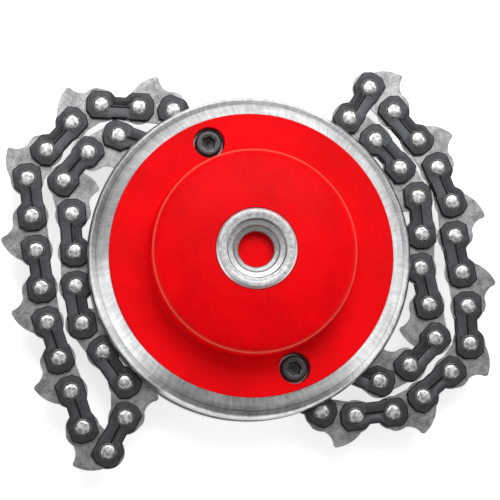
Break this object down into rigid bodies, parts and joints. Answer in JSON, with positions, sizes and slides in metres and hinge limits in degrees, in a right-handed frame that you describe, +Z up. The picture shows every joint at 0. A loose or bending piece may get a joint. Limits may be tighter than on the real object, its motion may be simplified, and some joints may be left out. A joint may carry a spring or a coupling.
{
  "type": "chain trimming head",
  "caption": "Turned two-disc rotary head with a domed boss, a threaded spindle hub below and folded, hinged chain loops held in the slot between the discs.",
  "frame": {"origin": "on the spindle axis at the hub's flat bottom face, in the mouth of its thread", "axes": "+Z up along the spindle, away from the machine, so the hub's thread opens towards -Z; the left loop lies towards -X and the right loop towards +X"},
  "size_m": [0.131, 0.1063, 0.0356],
  "materials": {
    "disc_aluminium": "fine turned",
    "red_paint": "satin powder coat",
    "zinc_steel": "turned, zinc plated",
    "black_oxide": "black oxide",
    "drive_steel": "tumbled steel",
    "strap_steel": "blued steel with bright rivet heads"
  },
  "bodies": {
    "head": {"upper_disc": "disc_aluminium", "red_cap": "red_paint", "wear_bush": "zinc_steel", "lower_disc": "disc_aluminium", "spindle_hub": "zinc_steel", "cap_screws": "black_oxide", "lock_nuts": "zinc_steel", "hub_screws": "black_oxide"},
    "left_anchor": {"left_anchor": "drive_steel"},
    "left_run_1": {"left_entry_strap": "strap_steel", "left_drive_01": "drive_steel"},
    "left_run_2": {"left_strap_01": "strap_steel", "left_drive_02": "drive_steel"},
    "left_run_3": {"left_strap_02": "strap_steel", "left_drive_03": "drive_steel", "left_strap_03": "strap_steel", "left_drive_04": "drive_steel", "left_strap_04": "strap_steel", "left_drive_05": "drive_steel", "left_strap_05": "strap_steel", "left_drive_06": "drive_steel", "left_strap_06": "strap_steel", "left_drive_07": "drive_steel", "left_strap_07": "strap_steel", "left_drive_08": "drive_steel", "left_strap_08": "strap_steel", "left_drive_09": "drive_steel", "left_strap_09": "strap_steel", "left_drive_10": "drive_steel", "left_strap_10": "strap_steel", "left_drive_11": "drive_steel", "left_strap_11": "strap_steel", "left_drive_12": "drive_steel"},
    "left_run_4": {"left_exit_strap": "strap_steel"},
    "right_anchor": {"right_anchor": "drive_steel"},
    "right_run_1": {"right_entry_strap": "strap_steel", "right_drive_01": "drive_steel"},
    "right_run_2": {"right_strap_01": "strap_steel", "right_drive_02": "drive_steel"},
    "right_run_3": {"right_strap_02": "strap_steel", "right_drive_03": "drive_steel", "right_strap_03": "strap_steel", "right_drive_04": "drive_steel", "right_strap_04": "strap_steel", "right_drive_05": "drive_steel", "right_strap_05": "strap_steel", "right_drive_06": "drive_steel", "right_strap_06": "strap_steel", "right_drive_07": "drive_steel", "right_strap_07": "strap_steel", "right_drive_08": "drive_steel", "right_strap_08": "strap_steel", "right_drive_09": "drive_steel", "right_strap_09": "strap_steel", "right_drive_10": "drive_steel", "right_strap_10": "strap_steel", "right_drive_11": "drive_steel", "right_strap_11": "strap_steel", "right_drive_12": "drive_steel"},
    "right_run_4": {"right_exit_strap": "strap_steel"}
  },
  "joints": [
    {"name": "left_swing", "type": "hinge", "parent": "head", "child": "left_anchor", "pos_m": [-0.01094, 0.02943, 0.011], "axis": [0, 0, 1], "range_deg": [-60, 10]},
    {"name": "left_unfold", "type": "hinge", "parent": "left_anchor", "child": "left_run_1", "pos_m": [-0.01061, 0.03545, 0.011], "axis": [0, 0, 1], "range_deg": [-20, 0]},
    {"name": "left_fold_1", "type": "hinge", "parent": "left_run_1", "child": "left_run_2", "pos_m": [-0.02876, 0.04029, 0.011], "axis": [0, 0, 1], "range_deg": [0, 20.88]},
    {"name": "left_fold_2", "type": "hinge", "parent": "left_run_2", "child": "left_run_3", "pos_m": [-0.04642, 0.03599, 0.011], "axis": [0, 0, 1], "range_deg": [-24.54, 0]},
    {"name": "left_fold_3", "type": "hinge", "parent": "left_run_3", "child": "left_run_4", "pos_m": [-0.03427, 0.03265, 0.011], "axis": [0, 0, 1], "range_deg": [0, 17.1]},
    {"name": "right_swing", "type": "hinge", "parent": "head", "child": "right_anchor", "pos_m": [0.01094, -0.02943, 0.011], "axis": [0, 0, 1], "range_deg": [-60, 10]},
    {"name": "right_unfold", "type": "hinge", "parent": "right_anchor", "child": "right_run_1", "pos_m": [0.00981, -0.03615, 0.011], "axis": [0, 0, 1], "range_deg": [-20, 0]},
    {"name": "right_fold_1", "type": "hinge", "parent": "right_run_1", "child": "right_run_2", "pos_m": [0.02791, -0.04147, 0.011], "axis": [0, 0, 1], "range_deg": [0, 22.04]},
    {"name": "right_fold_2", "type": "hinge", "parent": "right_run_2", "child": "right_run_3", "pos_m": [0.04591, -0.0363, 0.011], "axis": [0, 0, 1], "range_deg": [-26.2, 0]},
    {"name": "right_fold_3", "type": "hinge", "parent": "right_run_3", "child": "right_run_4", "pos_m": [0.03439, -0.03218, 0.011], "axis": [0, 0, 1], "range_deg": [0, 18.7]}
  ],
  "couplings": [
    {"joint": "left_fold_1", "follows": "left_unfold", "ratio": -1.044},
    {"joint": "left_fold_2", "follows": "left_unfold", "ratio": 1.227},
    {"joint": "left_fold_3", "follows": "left_unfold", "ratio": -0.855},
    {"joint": "right_fold_1", "follows": "right_unfold", "ratio": -1.102},
    {"joint": "right_fold_2", "follows": "right_unfold", "ratio": 1.31},
    {"joint": "right_fold_3", "follows": "right_unfold", "ratio": -0.935}
  ]
}
